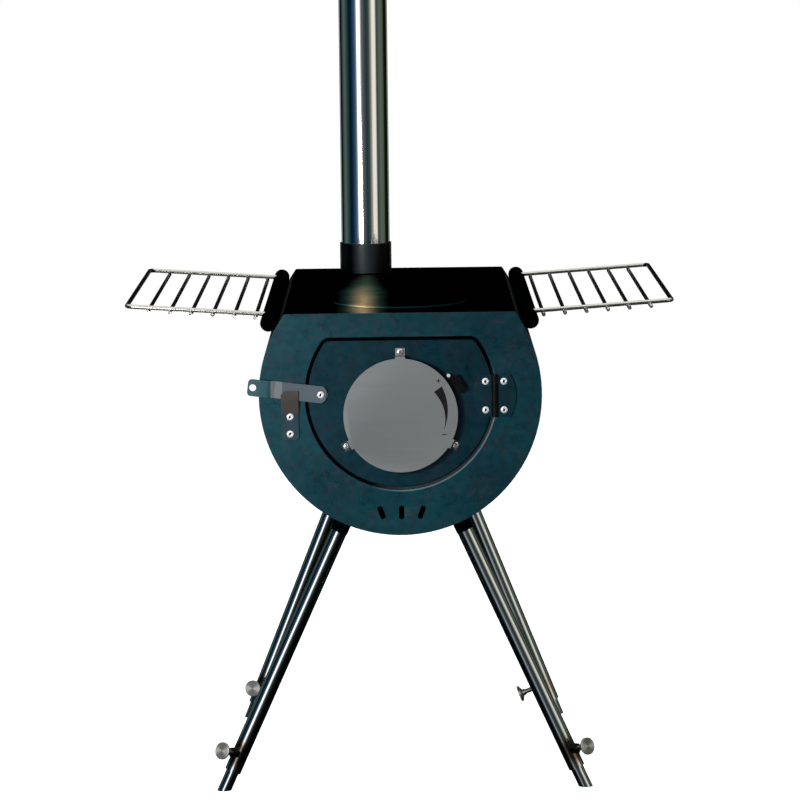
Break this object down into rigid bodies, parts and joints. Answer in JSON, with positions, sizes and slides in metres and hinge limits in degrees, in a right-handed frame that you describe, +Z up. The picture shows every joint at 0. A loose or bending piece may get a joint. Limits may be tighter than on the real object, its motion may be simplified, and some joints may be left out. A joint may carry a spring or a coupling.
{
  "type": "tent wood stove",
  "caption": "Lying-drum tent wood stove with flat cooking top, round door with air damper, folding side racks, telescopic legs and a first flue pipe section.",
  "frame": {"origin": "on the floor, under the middle of the stove's width and depth", "axes": "+X to the right seen from the front, +Y from the door towards the back plate, +Z up"},
  "size_m": [0.626, 0.5716, 0.9965],
  "materials": {
    "teal_paint": "satin heat-proof enamel, dark blue green",
    "black_paint": "satin black heat-proof paint",
    "bare_iron": "dark, sooted mild steel",
    "latch_steel": "dull zinc-grey sheet steel",
    "rivet_steel": "bright zinc-plated steel",
    "dark_steel": "dark heat-tinted steel",
    "brushed_cover": "stainless sheet, evenly brushed",
    "black_grip": "matt black, ribbed",
    "polished_steel": "polished stainless tube",
    "wire_steel": "stainless wire, electropolished",
    "knob_steel": "turned stainless with fine face rings"
  },
  "bodies": {
    "body": {"drum_shell": "black_paint", "cooktop": "black_paint", "front_plate": "teal_paint", "back_plate": "black_paint", "door_stop_ring": "black_paint", "flue_collar": "black_paint", "fire_grate": "bare_iron", "grate_rail_left": "bare_iron", "grate_rail_right": "bare_iron", "side_tube_left": "black_paint", "side_tube_right": "black_paint", "tube_plugs_left": "bare_iron", "tube_plugs_right": "bare_iron", "latch_keeper": "latch_steel", "keeper_rivets": "rivet_steel", "hinge_frame_leaf": "teal_paint", "hinge_frame_rivets": "rivet_steel", "hinge_pin": "dark_steel", "leg_stub_front_left": "black_paint", "leg_tube_front_left": "polished_steel", "leg_nut_front_left": "dark_steel", "leg_stub_front_right": "black_paint", "leg_tube_front_right": "polished_steel", "leg_nut_front_right": "dark_steel", "leg_stub_rear_left": "black_paint", "leg_tube_rear_left": "polished_steel", "leg_nut_rear_left": "dark_steel", "leg_stub_rear_right": "black_paint", "leg_tube_rear_right": "polished_steel", "leg_nut_rear_right": "dark_steel"},
    "door": {"door_plate": "teal_paint", "hinge_door_leaf": "teal_paint", "hinge_door_rivets": "rivet_steel", "heat_shield": "bare_iron", "shield_spacers": "bare_iron", "shield_nuts": "rivet_steel", "damper_cover": "brushed_cover", "cover_screws": "rivet_steel", "damper_pivot": "rivet_steel", "damper_stop_pin": "rivet_steel", "latch_rivet": "rivet_steel", "latch_washer": "latch_steel"},
    "latch": {"latch_lever": "latch_steel"},
    "damper": {"damper_rotor": "dark_steel", "damper_grip": "black_grip"},
    "rack_left": {"rack_left": "wire_steel", "rack_rod_left": "wire_steel"},
    "rack_right": {"rack_right": "wire_steel", "rack_rod_right": "wire_steel"},
    "hob_lid": {"hob_lid": "black_paint"},
    "stove_pipe": {"stove_pipe": "polished_steel"},
    "slider_front_left": {"leg_slider_front_left": "polished_steel"},
    "screw_front_left": {"leg_screw_front_left": "knob_steel"},
    "slider_front_right": {"leg_slider_front_right": "polished_steel"},
    "screw_front_right": {"leg_screw_front_right": "knob_steel"},
    "slider_rear_left": {"leg_slider_rear_left": "polished_steel"},
    "screw_rear_left": {"leg_screw_rear_left": "knob_steel"},
    "slider_rear_right": {"leg_slider_rear_right": "polished_steel"},
    "screw_rear_right": {"leg_screw_rear_right": "knob_steel"}
  },
  "joints": [
    {"name": "door_hinge", "type": "hinge", "parent": "body", "child": "door", "pos_m": [0.1065, -0.27755, 0.45649], "axis": [0, 0, 1], "range_deg": [0, 110]},
    {"name": "latch_pivot", "type": "hinge", "parent": "door", "child": "latch", "pos_m": [-0.09, -0.27575, 0.45979], "axis": [0, 1, 0], "range_deg": [0, 65]},
    {"name": "damper_turn", "type": "hinge", "parent": "door", "child": "damper", "pos_m": [0, -0.27525, 0.43609], "axis": [0, 1, 0], "range_deg": [-1.5, 42]},
    {"name": "rack_left_fold", "type": "hinge", "parent": "body", "child": "rack_left", "pos_m": [-0.14768, -0.27425, 0.54119], "axis": [0, 1, 0], "range_deg": [0, 100]},
    {"name": "rack_right_fold", "type": "hinge", "parent": "body", "child": "rack_right", "pos_m": [0.14768, -0.27425, 0.54119], "axis": [0, -1, 0], "range_deg": [0, 100]},
    {"name": "hob_lid_lift", "type": "slide", "parent": "body", "child": "hob_lid", "axis": [0, 0, 1], "range_m": [0, 0.04]},
    {"name": "pipe_lift", "type": "slide", "parent": "body", "child": "stove_pipe", "axis": [0, 0, 1], "range_m": [0, 0.045]},
    {"name": "leg_front_left_slide", "type": "slide", "parent": "body", "child": "slider_front_left", "axis": [-0.4131, 0, -0.9107], "range_m": [-0.015, 0.12]},
    {"name": "leg_front_right_slide", "type": "slide", "parent": "body", "child": "slider_front_right", "axis": [0.4131, 0, -0.9107], "range_m": [-0.015, 0.12]},
    {"name": "leg_rear_left_slide", "type": "slide", "parent": "body", "child": "slider_rear_left", "axis": [-0.3714, 0, -0.9285], "range_m": [-0.015, 0.12]},
    {"name": "leg_rear_right_slide", "type": "slide", "parent": "body", "child": "slider_rear_right", "axis": [0.3714, 0, -0.9285], "range_m": [-0.015, 0.12]},
    {"name": "screw_front_left_turn", "type": "hinge", "parent": "body", "child": "screw_front_left", "pos_m": [-0.18838, -0.24925, 0.04262], "axis": [-0.5854, -0.766, 0.2655], "continuous": true},
    {"name": "screw_front_right_turn", "type": "hinge", "parent": "body", "child": "screw_front_right", "pos_m": [0.18838, -0.24925, 0.04262], "axis": [0.6094, -0.7431, 0.2764], "continuous": true},
    {"name": "screw_rear_left_turn", "type": "hinge", "parent": "body", "child": "screw_rear_left", "pos_m": [-0.17651, 0.16875, 0.03757], "axis": [-0.3327, -0.9336, 0.1331], "continuous": true},
    {"name": "screw_rear_right_turn", "type": "hinge", "parent": "body", "child": "screw_rear_right", "pos_m": [0.17651, 0.16875, 0.03757], "axis": [-0.9285, 0, -0.3714], "continuous": true}
  ]
}
